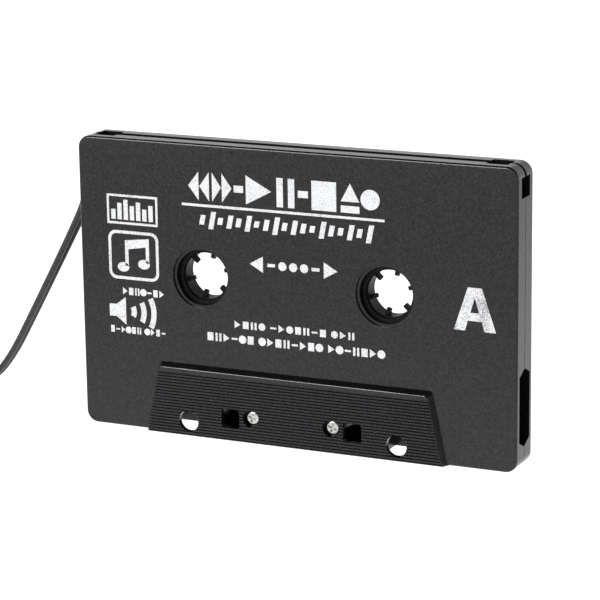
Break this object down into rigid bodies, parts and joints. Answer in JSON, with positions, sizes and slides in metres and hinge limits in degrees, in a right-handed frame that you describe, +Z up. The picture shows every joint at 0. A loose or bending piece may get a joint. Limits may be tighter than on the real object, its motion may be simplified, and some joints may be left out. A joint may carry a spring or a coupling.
{
  "type": "cassette audio adapter",
  "caption": "Cassette-shaped audio adapter with geared drive hubs, a sprung magnetic head, and a flat stereo lead with a 3.5 mm plug.",
  "frame": {"origin": "middle of the long open edge that the case stands on", "axes": "+X along the long side to the right as seen from the printed front, +Y from the front face to the rear face, +Z up"},
  "size_m": [0.2442, 0.0186, 0.0638],
  "materials": {
    "case_plastic": "fine moulded grain",
    "hub_plastic": "smooth moulded",
    "gear_plastic": "natural acetal",
    "clip_plastic": "moulded",
    "screw_steel": "bright plated",
    "spring_steel": "drawn wire",
    "head_shield": "polished face",
    "head_core": "laminated, polished",
    "head_resin": "cast resin",
    "bare_copper": "tinned in places",
    "board": "phenolic board",
    "resistor": "lacquered",
    "red_wire": "soft insulation",
    "white_wire": "soft insulation",
    "black_wire": "soft insulation",
    "green_wire": "soft insulation",
    "lead_jacket": "soft satin jacket",
    "tie": "coated wire tie",
    "plug_moulding": "soft moulded grip",
    "plug_metal": "nickel plated",
    "insulator": "moulded"
  },
  "bodies": {
    "root": {"front_shell": "case_plastic", "rear_shell": "case_plastic", "case_screws": "screw_steel", "idler_pin": "screw_steel", "matching_board": "board", "left_resistor": "resistor", "right_resistor": "resistor", "left_core": "red_wire", "shared_core": "bare_copper", "right_core": "white_wire", "left_signal_wire": "red_wire", "left_return_wire": "black_wire", "right_return_wire": "green_wire", "right_signal_wire": "white_wire", "head_spring": "spring_steel", "inner_cord": "lead_jacket", "cord_grip": "clip_plastic", "cord": "lead_jacket", "cord_hank": "lead_jacket", "cord_tie": "tie", "cord_tail": "lead_jacket", "plug_relief": "plug_moulding", "plug_body": "plug_moulding", "plug_sleeve": "plug_metal", "plug_insulator_inner": "insulator", "plug_ring": "plug_metal", "plug_insulator_outer": "insulator", "plug_tip": "plug_metal"},
    "left_hub": {"left_hub": "hub_plastic"},
    "right_hub": {"right_hub": "hub_plastic"},
    "idler": {"idler_gear": "gear_plastic"},
    "head": {"head_can": "head_shield", "head_core": "head_core", "head_fill": "head_resin", "head_pins": "bare_copper", "head_carrier": "clip_plastic"}
  },
  "joints": [
    {"name": "left_hub_spin", "type": "hinge", "parent": "root", "child": "left_hub", "pos_m": [-0.02125, 0, 0.03483], "axis": [0, 1, 0], "continuous": true},
    {"name": "right_hub_spin", "type": "hinge", "parent": "root", "child": "right_hub", "pos_m": [0.02125, 0, 0.03483], "axis": [0, 1, 0], "continuous": true},
    {"name": "idler_spin", "type": "hinge", "parent": "root", "child": "idler", "pos_m": [0, 0, 0.03483], "axis": [0, 1, 0], "continuous": true},
    {"name": "head_float", "type": "slide", "parent": "root", "child": "head", "axis": [0, 0, 1], "range_m": [0, 0.0008], "stiffness_N_per_m": 150, "springref_m": -0.001, "deforming": ["head_spring", "left_signal_wire", "left_return_wire", "right_return_wire", "right_signal_wire"]}
  ],
  "couplings": [
    {"joint": "right_hub_spin", "follows": "left_hub_spin", "ratio": 1},
    {"joint": "idler_spin", "follows": "left_hub_spin", "ratio": -1.2973}
  ]
}
